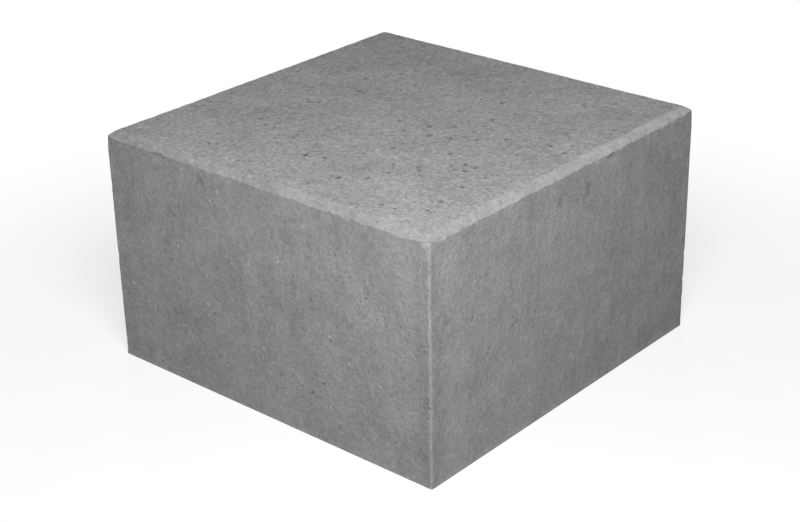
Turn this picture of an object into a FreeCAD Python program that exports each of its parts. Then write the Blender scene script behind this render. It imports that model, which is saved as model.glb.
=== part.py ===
"""Concrete step block: one dry-cast block for a garden stair, laid with its chamfered face up.

The block is a single casting. It is square on plan, its four sides are upright because the mould is
stripped straight up off them, and the pressing plate forms a chamfer along all four edges of the tread.
The upright corners carry a small rounding from the mould, and the edges of the underside are left sharp.

The origin is the middle of the underside, +Z is up, and -Y and +X are the two show faces. Millimetres.
"""
import FreeCAD
import Part

import os

# Driving dimensions
block_length = 300.0    # along X, one side of the tread
block_width = 300.0     # along Y, the other side of the tread
block_height = 180.0    # along Z, the rise of one step
chamfer_run = 5.5       # how far the tread's chamfer reaches in over the top
chamfer_drop = 5.0      # how far it reaches down each side
corner_radius = 1.2     # rounding of the four upright corners

wedge_overrun = 1.0     # how far a cutting wedge stands clear of the block on every open side

parts_folder = "parts"


def mould_box():
    """The plain casting: an upright box with its four upright corners rounded."""
    box = Part.makeBox(
        block_length, block_width, block_height,
        FreeCAD.Vector(-block_length / 2, -block_width / 2, 0),
    )
    upright_edges = [edge for edge in box.Edges if edge.BoundBox.ZLength > block_height / 2]
    return box.makeFillet(corner_radius, upright_edges)


def chamfer_wedge(face_distance, edge_length):
    """What the pressing plate takes off the tread's edge on the +X side, at face_distance from the centre.

    The wedge's long face follows the chamfer, and its other two sides stand outside the block.
    """
    slope = chamfer_drop / chamfer_run
    inner = face_distance - chamfer_run - wedge_overrun / slope
    outer = face_distance + wedge_overrun
    high = block_height + wedge_overrun
    low = block_height - chamfer_drop - wedge_overrun * slope
    start = -edge_length / 2 - wedge_overrun
    section = Part.makePolygon([
        FreeCAD.Vector(inner, start, high),
        FreeCAD.Vector(outer, start, high),
        FreeCAD.Vector(outer, start, low),
        FreeCAD.Vector(inner, start, high),
    ])
    return Part.Face(section).extrude(FreeCAD.Vector(0, edge_length + 2 * wedge_overrun, 0))


def tread_chamfers():
    """The four wedges, one for each edge of the tread, turned about the block's upright axis."""
    wedges = []
    for quarter in range(4):
        along_x = quarter % 2 == 0
        face_distance = (block_length if along_x else block_width) / 2
        edge_length = block_width if along_x else block_length
        wedge = chamfer_wedge(face_distance, edge_length)
        wedge.rotate(FreeCAD.Vector(0, 0, 0), FreeCAD.Vector(0, 0, 1), 90 * quarter)
        wedges.append(wedge)
    return wedges


def step_block():
    """The finished block, as one solid."""
    block = mould_box().cut(tread_chamfers()).removeSplitter()
    return block.Solids[0]


def main():
    os.makedirs(parts_folder, exist_ok=True)
    block = step_block()
    block.exportStep(os.path.join(parts_folder, "step_block.step"))
    size = block.BoundBox
    print("step_block", round(size.XLength, 3), round(size.YLength, 3), round(size.ZLength, 3), "mm,",
          round(block.Volume / 1e6, 4), "litres, valid", block.isValid(), "faces", len(block.Faces))


main()
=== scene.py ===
# Concrete step block: one dry-cast block, as it comes off the yard pallet, on a pale studio floor.
# Lengths are written in millimetres and turned to metres by mm().
import bpy
import bmesh
import math
import random
from mathutils import Matrix, Vector, noise


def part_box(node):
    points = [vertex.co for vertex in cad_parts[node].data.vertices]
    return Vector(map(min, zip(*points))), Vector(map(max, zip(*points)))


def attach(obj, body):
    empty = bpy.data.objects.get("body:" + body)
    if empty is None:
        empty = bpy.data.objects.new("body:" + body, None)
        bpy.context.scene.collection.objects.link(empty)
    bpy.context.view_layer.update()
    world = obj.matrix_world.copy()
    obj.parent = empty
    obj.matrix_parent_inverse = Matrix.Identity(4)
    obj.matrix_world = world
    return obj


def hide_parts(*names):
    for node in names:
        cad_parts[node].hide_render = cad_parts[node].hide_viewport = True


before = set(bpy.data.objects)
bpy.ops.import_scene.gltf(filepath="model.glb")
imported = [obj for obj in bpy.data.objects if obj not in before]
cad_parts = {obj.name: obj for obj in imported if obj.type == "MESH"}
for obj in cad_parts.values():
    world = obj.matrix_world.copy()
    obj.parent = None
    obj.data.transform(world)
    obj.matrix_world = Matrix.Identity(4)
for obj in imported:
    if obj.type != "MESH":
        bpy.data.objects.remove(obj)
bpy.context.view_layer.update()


def mm(length):
    return length / 1000


def linearColour(hexCode):
    channels = [int(hexCode[i:i + 2], 16) / 255 for i in (1, 3, 5)]
    return [c / 12.92 if c <= 0.04045 else ((c + 0.055) / 1.055) ** 2.4 for c in channels] + [1]


def smoothStep(low, high, value):
    t = min(max((value - low) / (high - low), 0), 1)
    return t * t * (3 - 2 * t)


block = {
    "chamferRun": mm(5.5),       # the pressed chamfer, in over the tread
    "chamferDrop": mm(5.0),      # and down each side
    "arrisRadius": mm(1.2),      # upright corners, from the mould
    "foldRadius": mm(1.7),       # the chamfer's own two edges are pressed, not knife sharp
    "edgeLines": [mm(d) for d in (1.7, 2.7, 4.1, 7.8, 9.2, 11.0)],   # finer rows of faces by the edges
    "gridStep": mm(2.25),        # faces everywhere else
    "undersideStep": mm(12),
    "sharpFrom": math.radians(38),
}

wear = {
    "sideWave": mm(0.22),        # how far a pressed face strays from flat
    "sideWaveLength": mm(90),
    "grainLift": mm(0.17),       # coarse sand grains standing in the skin
    "grainLength": mm(5.5),
    "raggedDrop": mm(0.9),       # the chamfer's lower edge wanders up and down this much
    "raggedLength": mm(9),
    "raggedReach": mm(3.2),      # above and below that line
    "chamferNibble": mm(1.1),    # deepest crumb lost from it
    "arrisNibble": mm(0.35),     # and from an upright arris
    "arrisReach": (mm(0.3), mm(3.6)),
    "cornerLift": mm(2.0),       # the top corners are knocked blunt: the chamfer's lower line rises there
    "cornerNibble": mm(1.1),     # and the point goes back
    "liftReach": (mm(1), mm(14)),
    "nibbleReach": (mm(0.5), mm(7)),
    "knockFrom": (mm(-9), mm(-1)),   # below the chamfer's lower line
    "footFrom": mm(4),           # nothing moves at the foot, and everything does this far up
}

# Open pores in the tread: place on the tread from its middle, and width. The rest are scattered.
treadPores = [
    (118, -101, 3.6), (40, -112, 3.9), (-4, -96, 3.8), (10, -92, 3.4), (61, -86, 3.0),
    (71, -33, 3.9), (99, -51, 3.6), (91, -54, 2.8), (34, -50, 3.0), (39, -15, 3.7),
    (26, -3, 4.0), (69, -2, 3.7), (85, 12, 3.4), (58, 10, 2.8), (117, 21, 3.2),
    (3, -6, 3.2), (53, 35, 2.8), (-62, 22, 3.0), (-76, -19, 3.2), (-69, -14, 2.8),
    (-24, -51, 3.0), (17, -21, 2.8), (87, 102, 3.2), (115, -75, 2.8), (91, -127, 3.0),
]

pores = {
    "seed": 41,
    "treadCount": 70,            # small ones besides the list above
    "treadWidth": (1.3, 2.7),    # millimetres
    "sideCount": 4,              # on each side
    "sideWidth": (0.9, 1.6),
    "depth": (0.5, 0.85),        # of the width
    "margin": mm(9),             # none nearer than this to an edge
    "apart": mm(5.2),
    "shortest": mm(1.9),         # a pore opens where the grid's edges are at least this long
    "mouth": mm(0.8),            # the first cut round a grid corner, before it is widened
    "widest": mm(1.95),          # half width that still fits inside one ring of the grid
    "uneven": (0.86, 1.0),       # how much of its radius each point of the mouth keeps
    "slide": Vector((-0.66, 0.75, 0)),       # the way the press plate slid off the tread
    "drawn": 0.35,                           # and how much longer it drew the pores
    "inset": (0.75, 1.0),
    "steps": ((0.22, 0.55), (0.3, 0.45)),    # share of the radius lost and of the depth gained, twice
    "rimShade": 0.45,
}

# Scars on the two show faces: which side, place along it, height, half length, half height, depth in mm.
scars = [
    ("front", -97, 173.5, 9, 2.6, 1.1), ("front", -78, 167, 4, 3, 0.6), ("front", -55, 166, 4, 5, 0.5),
    ("right", 20, 156, 3.5, 7, 0.9), ("right", -12, 158, 2.5, 5, 0.8), ("right", 46, 172.5, 7, 2.4, 0.4),
    ("right", -133, 115, 2.5, 3, 0.9), ("front", 125, 111, 4.5, 1.2, 0.5),
]


def roughBlock():
    # A plain box cut to the block's true outline: chamfered round the tread, rounded up the corners.
    low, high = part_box("step_block")
    size = high - low
    shape = bmesh.new()
    bmesh.ops.create_cube(shape, size=1)
    bmesh.ops.scale(shape, vec=size, verts=shape.verts)
    bmesh.ops.translate(shape, vec=(low + high) / 2, verts=shape.verts)
    shoulder = Vector((0, 0, high.z - block["chamferDrop"]))
    everything = shape.verts[:] + shape.edges[:] + shape.faces[:]
    bmesh.ops.bisect_plane(shape, geom=everything, plane_co=shoulder, plane_no=(0, 0, 1))
    tread = [v for v in shape.verts if v.co.z > high.z - mm(0.1)]
    narrower = [1 - 2 * block["chamferRun"] / side for side in (size.x, size.y)] + [1]
    bmesh.ops.scale(shape, vec=narrower, verts=tread)
    upright = [e for e in shape.edges if abs(e.verts[0].co.z - e.verts[1].co.z) > mm(1)]
    bmesh.ops.bevel(shape, geom=upright, offset=block["arrisRadius"], segments=3, profile=0.5,
                    affect="EDGES", material=-1)
    shape.normal_update()
    folds = [e for e in shape.edges if min(v.co.z for v in e.verts) > shoulder.z - mm(0.1)
             and abs(e.verts[0].co.z - e.verts[1].co.z) < mm(0.1) and e.calc_face_angle(0) > 0.3]
    bmesh.ops.bevel(shape, geom=folds, offset=block["foldRadius"], segments=2, profile=0.5,
                    affect="EDGES", material=-1)
    bmesh.ops.remove_doubles(shape, verts=shape.verts, dist=mm(0.01))
    return shape, low, high


def cutRow(shape, axis, place, faces):
    edges = {e for f in faces for e in f.edges}
    verts = {v for f in faces for v in f.verts}
    spot, direction = Vector(), Vector()
    spot[axis], direction[axis] = place, 1
    bmesh.ops.bisect_plane(shape, geom=[*verts, *edges, *faces], dist=mm(0.02),
                           plane_co=spot, plane_no=direction)


def divideLong(shape, axis, shortest):
    # All the long edges along one axis are cut together, which leaves an even grid between them.
    def isLong(edge):
        run = edge.verts[1].co - edge.verts[0].co
        return abs(run[axis]) > shortest and run.length < abs(run[axis]) * 1.001
    edges = [e for e in shape.edges if isLong(e)]
    span = edges[0].calc_length()
    bmesh.ops.subdivide_edges(shape, edges=edges, cuts=round(span / block["gridStep"]) - 1,
                              use_grid_fill=True)


def gridBlock():
    shape, low, high = roughBlock()
    underside = [f for f in shape.faces if f.calc_center_median().z < low.z + mm(0.1)]
    bmesh.ops.delete(shape, geom=underside, context="FACES_ONLY")
    for axis in (0, 1):
        for inset in block["edgeLines"]:
            for place in (low[axis] + inset, high[axis] - inset):
                cutRow(shape, axis, place, shape.faces[:])
    shape.normal_update()
    for drop in block["edgeLines"]:
        below = high.z - block["chamferDrop"] - drop / 2
        cutRow(shape, 2, below, [f for f in shape.faces if abs(f.normal.z) < 0.1])
        shape.normal_update()
    for lift in block["edgeLines"][1:4]:
        cutRow(shape, 2, low.z + lift / 2, [f for f in shape.faces if abs(f.normal.z) < 0.1])
        shape.normal_update()
    longest = [(high - low)[axis] * 0.6 for axis in range(3)]
    for axis in range(3):
        divideLong(shape, axis, longest[axis])
    # The underside is closed with one face and cut into a plain wide grid.
    rim = [e for e in shape.edges if e.is_boundary]
    closed = bmesh.ops.contextual_create(shape, geom=rim)["faces"]
    for axis in (0, 1):
        place = low[axis] + block["undersideStep"]
        while place < high[axis] - mm(1):
            flat = [f for f in shape.faces if f.calc_center_median().z < low.z + mm(0.01)]
            cutRow(shape, axis, place, flat)
            place += block["undersideStep"]
    bmesh.ops.recalc_face_normals(shape, faces=shape.faces)
    print("block grid", len(shape.faces), "faces, underside", len(closed))
    return shape, low, high


def openPores(shape, low, high):
    # Air holes left by the dry mix: a grid corner is cut out, rounded and pressed in twice.
    pitLayer = shape.verts.layers.float["pit"]
    dice = random.Random(pores["seed"])
    margin = pores["margin"]

    def freeCorners(test):
        return [v for v in shape.verts if test(v) and len(v.link_edges) == 4
                and all(e.calc_length() > pores["shortest"] for e in v.link_edges)]

    treadCorners = freeCorners(lambda v: v.co.z > high.z - mm(0.5)
                               and max(abs(v.co.x), abs(v.co.y)) < high.x - margin)
    sideCorners = [v for v in freeCorners(lambda v: low.z + margin < v.co.z < high.z - margin)
                   if min(abs(abs(v.co.x) - high.x), abs(abs(v.co.y) - high.y)) < mm(0.6)
                   and min(abs(v.co.x), abs(v.co.y)) < high.x - margin]
    chosen, taken = [], []

    def take(corner, width):
        if all((corner.co - other).length > pores["apart"] for other in taken):
            taken.append(corner.co.copy())
            chosen.append((corner, width))

    for x, y, width in treadPores:
        spot = Vector((mm(x), mm(y), high.z))
        take(min(treadCorners, key=lambda v: (v.co - spot).length), width)
    for corner in dice.sample(treadCorners, pores["treadCount"]):
        take(corner, dice.uniform(*pores["treadWidth"]))
    for corner in dice.sample(sideCorners, pores["sideCount"] * 4):
        take(corner, dice.uniform(*pores["sideWidth"]))

    widths = [(corner.co.copy(), width) for corner, width in chosen]
    cut = bmesh.ops.bevel(shape, geom=[corner for corner, width in chosen], offset=pores["mouth"],
                          segments=1, profile=0.5, affect="VERTICES", material=-1)
    mouths = [f for f in cut["faces"] if len(f.verts) == 4 and f.calc_area() < mm(1.3) ** 2]
    bmesh.ops.bisect_edges(shape, edges=list({e for f in mouths for e in f.edges}), cuts=1)
    for mouth in mouths:
        centre, width = min(widths, key=lambda entry: (entry[0] - mouth.calc_center_median()).length)
        radius = min(mm(width) / 2, pores["widest"])
        onTread = centre.z > high.z - mm(0.5)
        inset = dice.uniform(*pores["inset"])
        for v in mouth.verts:
            away = v.co - centre
            away.length = radius * dice.uniform(*pores["uneven"])
            if onTread:
                away += pores["slide"] * away.dot(pores["slide"]) * pores["drawn"]
                room = pores["widest"] * away.length / max(abs(away.x), abs(away.y))
                away.length = min(away.length, room)
            v.co = centre + away
            # the pit layer weights the painted shade in the pore: part at the rim, full inside
            v[pitLayer] = pores["rimShade"]
        depth = mm(width) * dice.uniform(*pores["depth"])
        for share, step in pores["steps"]:
            bmesh.ops.inset_individual(shape, faces=[mouth], thickness=radius * share * inset,
                                       depth=-depth * step)
            for v in mouth.verts:
                v[pitLayer] = 1
    print("pores", len(chosen))


def edgeDistances(point, low, high):
    # How far a point lies from the nearest upright arris, from the chamfer's lower line and the foot.
    toX = min(point.x - low.x, high.x - point.x)
    toY = min(point.y - low.y, high.y - point.y)
    return toX, toY, point.z - (high.z - block["chamferDrop"]), point.z - low.z


def crumb(point, length, threshold):
    fine = noise.noise(point / (length * 0.42) + Vector((7, 3, 1)))
    value = noise.noise(point / length) * 0.65 + fine * 0.5
    return smoothStep(threshold, threshold + 0.45, value)


def weather(shape, low, high):
    # The skin's relief: a slow wave, standing grains, a ragged chamfer edge and crumbs off the arrises.
    shape.normal_update()
    moves = []
    for v in shape.verts:
        p, n = v.co, v.normal
        toX, toY, overShoulder, overFoot = edgeDistances(p, low, high)
        if n.z < -0.9:
            moves.append(Vector())
            continue
        wave = noise.noise(p / wear["sideWaveLength"]) - 0.5
        onTread = smoothStep(0.75, 0.95, n.z)
        grain = noise.noise(p / wear["grainLength"] + Vector((11, 5, 2)))
        grain += 0.5 * noise.noise(p / (wear["grainLength"] * 0.5) + Vector((2, 9, 4)))
        foot = smoothStep(0, wear["footFrom"], overFoot)
        stand = (grain - 0.6) * wear["grainLift"] * (0.6 + 0.7 * onTread)
        move = n * (wave * wear["sideWave"] * foot + stand * foot)
        # chamfer's lower line
        nearLine = 1 - smoothStep(0, wear["raggedReach"], abs(overShoulder))
        if nearLine > 0:
            along = noise.noise(Vector((p.x, p.y, 0)) / wear["raggedLength"])
            along += 0.6 * noise.noise(Vector((p.x, p.y, 0.4)) / (wear["raggedLength"] * 0.45))
            move.z += along * wear["raggedDrop"] * nearLine
            move -= n * crumb(p, mm(11), 0.16) * wear["chamferNibble"] * nearLine
        # upright arris: both neighbouring sides are near
        fromArris = math.hypot(toX, toY)
        arris = 1 - smoothStep(*wear["arrisReach"], fromArris)
        inward = Vector((-math.copysign(1, p.x), -math.copysign(1, p.y), 0)).normalized()
        if arris > 0 and overShoulder < mm(1):
            lost = crumb(p, mm(8), 0.1) + 0.18 * (noise.noise(p / mm(4)) + 0.6)
            move += inward * lost * wear["arrisNibble"] * arris * foot
        # top corners, the handled one knocked twice as much
        share = 1 if p.x > 0 > p.y else 0.5
        level = smoothStep(*wear["knockFrom"], overShoulder)
        belowTread = 1 - smoothStep(0, block["chamferDrop"], overShoulder)
        rise = level * belowTread * (1 - smoothStep(*wear["liftReach"], fromArris))
        move.z += wear["cornerLift"] * share * rise
        nearPoint = 1 - smoothStep(*wear["nibbleReach"], fromArris)
        move += inward * wear["cornerNibble"] * share * level * nearPoint
        moves.append(move)
    for v, move in zip(shape.verts, moves):
        v.co += move


def scarSides(shape, high):
    # Spots where the skin pulled off as the mould was stripped.
    pitLayer = shape.verts.layers.float["pit"]
    for v in shape.verts:
        for side, place, height, halfLength, halfHeight, depth in scars:
            if side == "front":
                along, face, axis = v.co.x, v.co.y + high.y, 1
            else:
                along, face, axis = v.co.y, v.co.x - high.x, 0
            if abs(face) > mm(1.5):
                continue
            wander = noise.noise(v.co / mm(5)) * 0.5
            reach = math.hypot((along - mm(place)) / mm(halfLength), (v.co.z - mm(height)) / mm(halfHeight))
            bite = 1 - smoothStep(0.35, 1.1, reach + wander)
            v.co[axis] += math.copysign(mm(depth) * bite, -v.co[axis])
            # the scar takes painted shade too
            v[pitLayer] = max(v[pitLayer], bite * pores["rimShade"])


# How far the chamfer's paler skin and painted light lighten the grey on each side, by the handled corner
# and at the far end: painted highlight, strongest at the right's far end, and painted shade where the value
# is below zero, on the front.
chamferSkinAndPaintedLight = {
    "front": (-0.10, -0.03),
    "right": (-0.04, 0.30),
    "back": (0.03, 0.03),
    "left": (0.03, 0.03),
}

edgeMarks = {
    "wander": mm(1.6),                       # how far the borders below stray, and over what length
    "wanderLength": mm(9),
    "treadFrom": (mm(4.6), mm(7.6)),         # in from the edge
    "chamferTo": (mm(4.4), mm(9.5)),
    "chamferFrom": (mm(-1.9), mm(1.3)),      # over the chamfer's lower line
    "patchLength": mm(24),                   # the chamfer's pale skin and painted highlight come in patches
    "arrisTo": (mm(1.2), mm(2.6)),           # out from an upright arris
    "arrisTop": (mm(-3), mm(-16)),
    "arrisPatchLength": mm(6),
    # paler skin and painted highlight on an upright arris
    "arrisSkinAndHighlight": 0.07,
    "darkBandFrom": (mm(1), mm(3)),             # out from the handled arris
    "darkBandTo": (mm(5), mm(19)),
    "darkBandTop": (mm(-1), mm(-4)),
    "darkBandFade": 0.6,                        # lost from foot to tread
}


def markEdges(shape, low, high):
    # Which points lie on the open tread, which on the pressed chamfer or an arris, made paler there partly
    # by their pressed skin and partly by painted highlight, and which lie in the band beside the handled
    # arris that is darkened, more so towards the foot.
    layers = shape.verts.layers.float
    tread, pale, skinAndPaintedLight, darkBand = [layers[name] for name in ("tread", "paleEdge", "skinAndPaintedLight", "darkBand")]
    marks = edgeMarks
    for v in shape.verts:
        toX, toY, overShoulder, overFoot = edgeDistances(v.co, low, high)
        wander = marks["wander"] * noise.noise(v.co / marks["wanderLength"])
        fromEdge = min(toX, toY) + wander
        onTop = smoothStep(mm(-0.5), mm(1), v.co.z - high.z + mm(1))
        v[tread] = onTop * smoothStep(*marks["treadFrom"], fromEdge)

        onChamfer = smoothStep(*marks["chamferFrom"], overShoulder)
        onChamfer *= 1 - smoothStep(*marks["chamferTo"], fromEdge)
        onChamfer *= 0.85 + 0.4 * noise.noise(v.co / marks["patchLength"])
        onArris = 1 - smoothStep(*marks["arrisTo"], math.hypot(toX, toY) + wander / 2)
        onArris *= smoothStep(*marks["arrisTop"], overShoulder)
        onArris *= 0.45 + 0.5 * noise.noise(v.co / marks["arrisPatchLength"])
        v[pale] = max(onChamfer, onArris)

        toRight, toFront = high.x - v.co.x, v.co.y - low.y
        inFrom = {"front": toFront, "right": toRight, "back": high.y - v.co.y, "left": v.co.x - low.x}
        # this side's paler skin and painted light: painted highlight, or painted shade where the value is
        # below zero
        near, far = chamferSkinAndPaintedLight[min(inFrom, key=inFrom.get)]
        away = max(toRight, toFront) / (high.x - low.x)
        v[skinAndPaintedLight] = near + (far - near) * away if overShoulder > marks["arrisTop"][0] else marks["arrisSkinAndHighlight"]

        # a band beside the handled arris, darker towards the foot
        fromHandled = math.hypot(toRight, toFront)
        beside = smoothStep(*marks["darkBandFrom"], fromHandled)
        beside *= 1 - smoothStep(*marks["darkBandTo"], fromHandled)
        upward = 1 - marks["darkBandFade"] * overFoot / (high.z - low.z)
        v[darkBand] = beside * upward * smoothStep(*marks["darkBandTop"], overShoulder)


def castBlock(finish):
    shape, low, high = gridBlock()
    for name in ("pit", "tread", "paleEdge", "skinAndPaintedLight", "darkBand"):
        shape.verts.layers.float.new(name)
    markEdges(shape, low, high)
    openPores(shape, low, high)
    weather(shape, low, high)
    scarSides(shape, high)
    mesh = bpy.data.meshes.new("cast_block")
    shape.to_mesh(mesh)
    shape.free()
    mesh.shade_smooth()
    mesh.set_sharp_from_angle(angle=block["sharpFrom"])
    mesh.materials.append(finish)
    piece = bpy.data.objects.new("cast_block", mesh)
    bpy.context.scene.collection.objects.link(piece)
    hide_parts("step_block")
    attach(piece, "root")
    print("cast block", len(mesh.polygons), "faces")
    return piece


def addNode(tree, kind, inputs=None, **settings):
    # Settings are the node's own. An input takes a plain value, an output, or a node for its first output.
    node = tree.nodes.new("ShaderNode" + kind)
    for name, value in settings.items():
        setattr(node, name, value)
    for name, value in (inputs or {}).items():
        if isinstance(value, bpy.types.Node):
            value = value.outputs[0]
        if isinstance(value, bpy.types.NodeSocket):
            tree.links.new(value, node.inputs[name])
        else:
            node.inputs[name].default_value = value
    return node


concrete = {
    "body": "#8e8e8e",           # dry grey cement and sand
    "specular": 0.25,
    "roughness": (0.97, 0.86),   # down in the paste, and on the worn tops of the grains
    "grain": 1.5,                # width of a sand grain, mm
    "clouds": {                  # size in mm, detail, roughness, squeeze along the height, shift
        "fines": (0.7, 2, 0.6, 1, 0),
        "lumps": (3.2, 3, 0.6, 1, 0),
        "mottle": (6.5, 2, 0.6, 0.6, 5),
        "patches": (12, 2, 0.5, 1, 3),
        "damp": (38, 3, 0.55, 1, 0),
        "drag": (1.6, 2, 0.6, 0.26, 0),      # fine upright marks from stripping the mould
        "bands": (11, 1, 0.5, 0.08, 0),
    },
    "spots": {                   # spacing in mm, shift, share left empty, largest radius by spacing
        "quartz": (9, 0, 0.35, 0.17),
        "glints": (3.4, 2.5, 0.45, 0.2),
        "flecks": (3.8, 4.1, 0.45, 0.2),
        "pinholes": (7, 1.7, 0.3, 0.12),
    },
    "spotEdge": (0.7, 1.25),     # soft rim, by a spot's own radius
    "tone": {                    # how far each one lightens the grey, on the sides and on the tread
        "grains": (0.19, 0.32),
        "fines": (0.34, 0.56),
        "lumps": (0.49, 0.80),
        "mottle": (0.26, 0.36),
        "patches": (0.22, 0.22),
        "damp": (0.44, 0.44),
        "drag": (0.30, 0),
        "bands": (0.15, 0),
        "quartz": (0.36, 0.42),
        "glints": (0.27, 0.42),
        "flecks": (-0.18, -0.32),
        # pinholes: painted shade, the tiny holes darkened in colour
        "pinholes": (-0.34, -0.38),
    },
    "relief": {                  # and how far it stands out, mm
        "domes": (0.09, 0.22),
        "fines": (0.15, 0.20),
        "lumps": (0.38, 0.95),
        "drag": (0.30, 0),
        "quartz": (0.10, 0.50),
        "glints": (0.10, 0.40),
        "flecks": (-0.10, -0.40),
        "pinholes": (-0.45, -0.45),
    },
    "darkBand": 0.16,
    "paleFrom": (0.2, 0.85),     # where the pale skin and painted highlight start and where they are full
    "paleBreak": 1.1,            # how much the drag marks break it up
    "edgeRelief": 0.6,           # the pressed chamfer is smoother than its neighbours
    "pressTurn": math.radians(41),   # grains and fines lie slightly long in the way the plate slid off
    "pressStretch": 1.35,
    "pitShade": 0.48,
}


def concreteFinish():
    # Vibropressed dry-cast concrete: dull, sandy on the tread where the press plate lifted off, closer
    # and faintly streaked upright on the sides where the mould slid past, and paler on the pressed chamfer,
    # partly its skin and partly painted highlight.
    material = bpy.data.materials.new("vibropressed concrete")
    material.use_nodes = True
    tree = material.node_tree
    shader = tree.nodes["Principled BSDF"]
    shader.inputs["Specular IOR Level"].default_value = concrete["specular"]
    place = addNode(tree, "TexCoord").outputs["Object"]
    pit = addNode(tree, "Attribute", attribute_name="pit").outputs["Fac"]
    tread = addNode(tree, "Attribute", attribute_name="tread").outputs["Fac"]
    edge = addNode(tree, "Attribute", attribute_name="paleEdge").outputs["Fac"]
    skinAndPaintedLight = addNode(tree, "Attribute", attribute_name="skinAndPaintedLight").outputs["Fac"]
    darkBand = addNode(tree, "Attribute", attribute_name="darkBand").outputs["Fac"]

    patterns = {}
    pressed = addNode(tree, "Mapping", {"Vector": place, "Rotation": (0, 0, concrete["pressTurn"]),
                                        "Scale": (1, concrete["pressStretch"], 1)}, vector_type="TEXTURE")
    for name, (size, detail, rough, squeeze, shift) in concrete["clouds"].items():
        spot = addNode(tree, "Mapping", {
            "Vector": pressed if name in ("fines", "lumps") else place,
            "Scale": (1, 1, squeeze), "Location": (shift, shift, shift)})
        cloud = addNode(tree, "TexNoise", {
            "Vector": spot, "Scale": 1000 / size, "Detail": detail, "Roughness": rough})
        patterns[name] = addNode(tree, "Math", {0: cloud, 1: 0.5}, operation="SUBTRACT")
    solid, clear = concrete["spotEdge"]
    for name, (spacing, shift, empty, largest) in concrete["spots"].items():
        spot = addNode(tree, "Mapping", {"Vector": place, "Location": (shift, shift, shift)})
        cells = addNode(tree, "TexVoronoi", {"Vector": spot, "Scale": 1000 / spacing})
        pick = addNode(tree, "SeparateColor", {"Color": cells.outputs["Color"]})
        radius = addNode(tree, "MapRange", {
            "Value": pick, "From Min": empty, "To Min": 0.001, "To Max": largest})
        reach = addNode(tree, "Math", {0: cells, 1: radius}, operation="DIVIDE")
        patterns[name] = addNode(tree, "MapRange", {
            "Value": reach, "From Min": solid, "From Max": clear, "To Min": 1, "To Max": 0},
            interpolation_type="SMOOTHSTEP")
    grains = addNode(tree, "TexVoronoi", {"Vector": place, "Scale": 1000 / concrete["grain"]})
    grey = addNode(tree, "SeparateColor", {"Color": grains.outputs["Color"]})
    patterns["grains"] = addNode(tree, "Math", {0: grey, 1: 0.5}, operation="SUBTRACT")
    patterns["domes"] = addNode(tree, "Math", {0: 0.5, 1: grains}, operation="SUBTRACT")

    # the pale skin and painted highlight end in a line broken by the drag marks, and the marks stop at the
    # chamfer
    ragged = addNode(tree, "Math", {0: patterns["drag"], 1: concrete["paleBreak"], 2: edge},
                     operation="MULTIPLY_ADD")
    start, full = concrete["paleFrom"]
    pale = addNode(tree, "MapRange", {"Value": ragged, "From Min": start, "From Max": full},
                   interpolation_type="SMOOTHSTEP")
    upper = addNode(tree, "Math", {0: tread, 1: pale}, operation="ADD")
    onSide = addNode(tree, "Math", {0: 1, 1: upper}, operation="SUBTRACT", use_clamp=True)
    for name in ("drag", "bands"):
        patterns[name] = addNode(tree, "Math", {0: patterns[name], 1: onSide}, operation="MULTIPLY")

    tone, relief = 1, 0
    for name, (onSides, onTread) in concrete["tone"].items():
        share = addNode(tree, "MapRange", {"Value": tread, "To Min": onSides, "To Max": onTread})
        tone = addNode(tree, "Math", {0: patterns[name], 1: share, 2: tone}, operation="MULTIPLY_ADD")
    for name, (onSides, onTread) in concrete["relief"].items():
        share = addNode(tree, "MapRange", {"Value": tread, "To Min": onSides, "To Max": onTread})
        relief = addNode(tree, "Math", {0: patterns[name], 1: share, 2: relief}, operation="MULTIPLY_ADD")

    # painted light on the chamfers and arrises, with their paler pressed skin: painted highlight, and
    # painted shade on the front chamfer
    tone = addNode(tree, "Math", {0: pale, 1: skinAndPaintedLight, 2: tone}, operation="MULTIPLY_ADD")
    # darker in a band beside the handled arris, more so towards the foot
    tone = addNode(tree, "Math", {0: darkBand, 1: -concrete["darkBand"], 2: tone}, operation="MULTIPLY_ADD")
    # painted shade: the pores and the scars are darkened in colour, most at their floors
    shade = addNode(tree, "MapRange", {"Value": pit, "To Min": 1, "To Max": concrete["pitShade"]})
    tone = addNode(tree, "Math", {0: tone, 1: shade}, operation="MULTIPLY")
    greys = addNode(tree, "CombineXYZ", {"X": tone, "Y": tone, "Z": tone})
    colour = addNode(tree, "Mix", {"Factor": 1, "A": linearColour(concrete["body"]), "B": greys},
                     data_type="RGBA", blend_type="MULTIPLY")
    tree.links.new(colour.outputs["Result"], shader.inputs["Base Color"])

    paste, worn = concrete["roughness"]
    dull = addNode(tree, "MapRange", {"Value": patterns["grains"], "From Min": -0.5, "From Max": 0.5,
                                      "To Min": paste, "To Max": worn})
    tree.links.new(dull.outputs[0], shader.inputs["Roughness"])
    depth = addNode(tree, "MapRange", {"Value": pale, "To Min": 1, "To Max": concrete["edgeRelief"]})
    bump = addNode(tree, "Bump", {"Height": relief, "Distance": mm(1), "Strength": depth})
    tree.links.new(bump.outputs[0], shader.inputs["Normal"])
    print("concrete finish", len(tree.nodes), "nodes")
    return material


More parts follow.
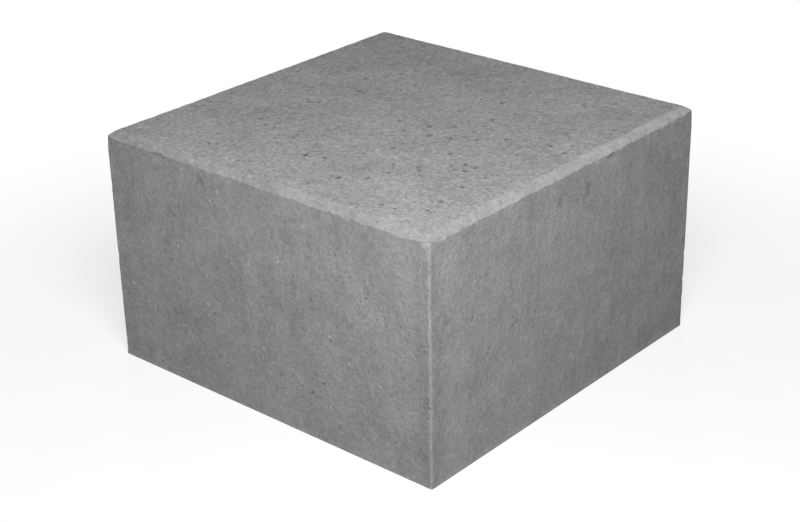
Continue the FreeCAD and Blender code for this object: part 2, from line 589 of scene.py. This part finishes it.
studio = {
    "floorSize": 12.0,               # metres
    "floorBody": "#8f8f8f",          # what the floor throws back at the block
    "floorGlow": 0.68,               # what the camera sees added, so that the floor reads as white
    "whiteFrom": 0.25,               # metres from the middle: past here the floor fades to plain white
    "whiteBy": 0.54,
    "skyLight": 0.20,
    "lampAim": (0, 0, mm(90)),
    "keyPlace": (0.50, -0.50, 0.70),
    "keySize": 0.45,
    "keyPower": 10.1,
    "sidePlace": (-0.50, -0.80, 0.55),   # a weak lamp that opens up the left of the front face
    "sideSize": 0.4,
    "sidePower": 0.8,
    "rearPlaces": [(-1.2, 0.7, 0.12), (-0.7, 1.2, 0.12)],   # low, so that they miss the tread
    "rearSize": 0.2,
    "rearPower": 9.0,
}

view = {
    "azimuth": 41.24,                # round from the front, degrees
    "elevation": 25.28,
    "roll": -1.14,
    "aim": (mm(-3.0), mm(-2.6), mm(65.6)),
    "distance": 1.2748,
    "lens": 76.72,
}


def seenDirectly(tree):
    path = addNode(tree, "LightPath")
    mirrored = addNode(tree, "Math", {0: path.outputs["Is Glossy Ray"],
                                      1: path.outputs["Is Transmission Ray"]}, operation="MAXIMUM")
    return addNode(tree, "Math", {0: path.outputs["Is Camera Ray"], 1: mirrored}, operation="MAXIMUM")


def paperFinish():
    # Matt studio paper: it takes the block's shadow and fades to plain white further out.
    material = bpy.data.materials.new("studio paper")
    material.use_nodes = True
    tree = material.node_tree
    tree.nodes.clear()
    seen = seenDirectly(tree)
    matt = addNode(tree, "BsdfDiffuse", {"Color": linearColour(studio["floorBody"])})
    glow = addNode(tree, "Math", {0: seen, 1: studio["floorGlow"]}, operation="MULTIPLY")
    lift = addNode(tree, "Emission", {"Strength": glow})
    near = addNode(tree, "AddShader", {0: matt, 1: lift})
    place = addNode(tree, "TexCoord").outputs["Object"]
    reach = addNode(tree, "VectorMath", {0: place}, operation="LENGTH").outputs["Value"]
    fade = addNode(tree, "MapRange", {"Value": reach, "From Min": studio["whiteFrom"],
                                      "From Max": studio["whiteBy"]}, interpolation_type="SMOOTHSTEP")
    share = addNode(tree, "Math", {0: fade, 1: seen}, operation="MULTIPLY")
    white = addNode(tree, "Emission", {"Strength": 1})
    mix = addNode(tree, "MixShader", {0: share, 1: near, 2: white})
    addNode(tree, "OutputMaterial", {"Surface": mix})
    return material


def makeFloor():
    shape = bmesh.new()
    bmesh.ops.create_grid(shape, x_segments=1, y_segments=1, size=studio["floorSize"] / 2)
    mesh = bpy.data.meshes.new("floor")
    shape.to_mesh(mesh)
    shape.free()
    mesh.materials.append(paperFinish())
    floor = bpy.data.objects.new("floor", mesh)
    bpy.context.scene.collection.objects.link(floor)


def makeLamp(name, place, size, power):
    lamp = bpy.data.lights.new(name, "AREA")
    lamp.shape = "DISK"
    lamp.size = size
    lamp.energy = power
    holder = bpy.data.objects.new(name, lamp)
    holder.location = place
    direction = Vector(studio["lampAim"]) - Vector(place)
    holder.rotation_euler = direction.to_track_quat("-Z", "Y").to_euler()
    holder.visible_camera = False
    bpy.context.scene.collection.objects.link(holder)


def makeWorld():
    world = bpy.data.worlds.new("studio")
    bpy.context.scene.world = world
    world.use_nodes = True
    tree = world.node_tree
    tree.nodes.clear()
    light = addNode(tree, "Background", {"Color": (1, 1, 1, 1), "Strength": studio["skyLight"]})
    white = addNode(tree, "Background", {"Color": (1, 1, 1, 1), "Strength": 1})
    mix = addNode(tree, "MixShader", {0: seenDirectly(tree), 1: light, 2: white})
    addNode(tree, "OutputWorld", {"Surface": mix})


def makeCamera():
    azimuth, elevation = math.radians(view["azimuth"]), math.radians(view["elevation"])
    back = Vector((math.sin(azimuth) * math.cos(elevation), -math.cos(azimuth) * math.cos(elevation),
                   math.sin(elevation)))
    data = bpy.data.cameras.new("camera")
    data.lens = view["lens"]
    camera = bpy.data.objects.new("camera", data)
    camera.location = Vector(view["aim"]) + back * view["distance"]
    level = (-back).to_track_quat("-Z", "Y").to_matrix()
    camera.rotation_euler = (level @ Matrix.Rotation(math.radians(view["roll"]), 3, "Z")).to_euler()
    bpy.context.scene.collection.objects.link(camera)
    bpy.context.scene.camera = camera


bpy.context.scene.view_settings.view_transform = "Standard"
castBlock(concreteFinish())
makeFloor()
makeWorld()
makeLamp("key", studio["keyPlace"], studio["keySize"], studio["keyPower"])
makeLamp("side", studio["sidePlace"], studio["sideSize"], studio["sidePower"])
for count, place in enumerate(studio["rearPlaces"]):
    makeLamp("rear_" + str(count), place, studio["rearSize"], studio["rearPower"])
makeCamera()
print("studio ready")
